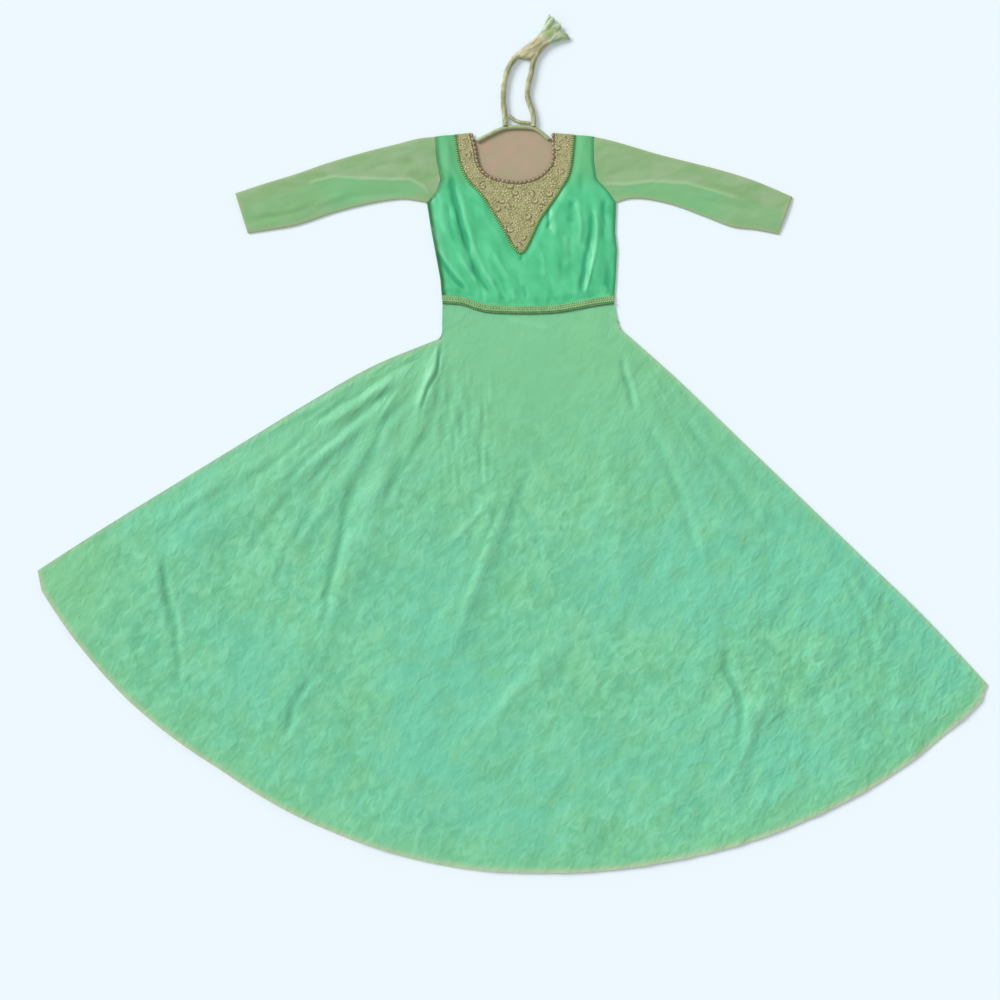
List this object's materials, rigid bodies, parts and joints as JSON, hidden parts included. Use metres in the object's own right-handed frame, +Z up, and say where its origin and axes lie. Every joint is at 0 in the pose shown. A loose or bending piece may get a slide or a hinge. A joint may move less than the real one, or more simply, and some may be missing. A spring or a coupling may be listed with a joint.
{
  "type": "anarkali gown",
  "caption": "Green satin anarkali gown laid flat: gathered bodice, embroidered V yoke, net sleeves, wide flared skirt and neck ties with a tassel.",
  "frame": {"origin": "on the surface the gown lies on, under the middle of the gown's outline without its neck ties", "axes": "+X towards the gown's left sleeve as worn, +Y towards the neck, +Z up from the surface"},
  "size_m": [1.898, 1.7136, 0.0175],
  "materials": {
    "bodice_satin": "soft sheen satin",
    "skirt_satin": "crushed satin",
    "sleeve_net": "fine matt net",
    "nude_net": "fine matt net",
    "embroidery": "metal thread embroidery",
    "trim_gold": "woven metallic band",
    "piping_dark": "matt cord and beads",
    "binding_olive": "satin binding",
    "tie_fabric": "satin cord",
    "tassel_cloth": "gathered net"
  },
  "bodies": {
    "root": {"bodice_front": "bodice_satin", "bodice_back": "bodice_satin", "back_yoke": "nude_net", "neck_yoke": "embroidery", "neckline_binding": "piping_dark", "back_neck_binding": "binding_olive", "sleeve_left": "sleeve_net", "sleeve_right": "sleeve_net", "waist_trim": "trim_gold", "waist_piping": "piping_dark", "skirt_front_center": "skirt_satin", "skirt_front_left": "skirt_satin", "skirt_front_right": "skirt_satin", "skirt_back_center": "skirt_satin", "skirt_back_left": "skirt_satin", "skirt_back_right": "skirt_satin", "tie_left": "tie_fabric", "tie_right": "tie_fabric", "tie_bar": "tie_fabric", "tassel": "tassel_cloth"}
  },
  "joints": []
}
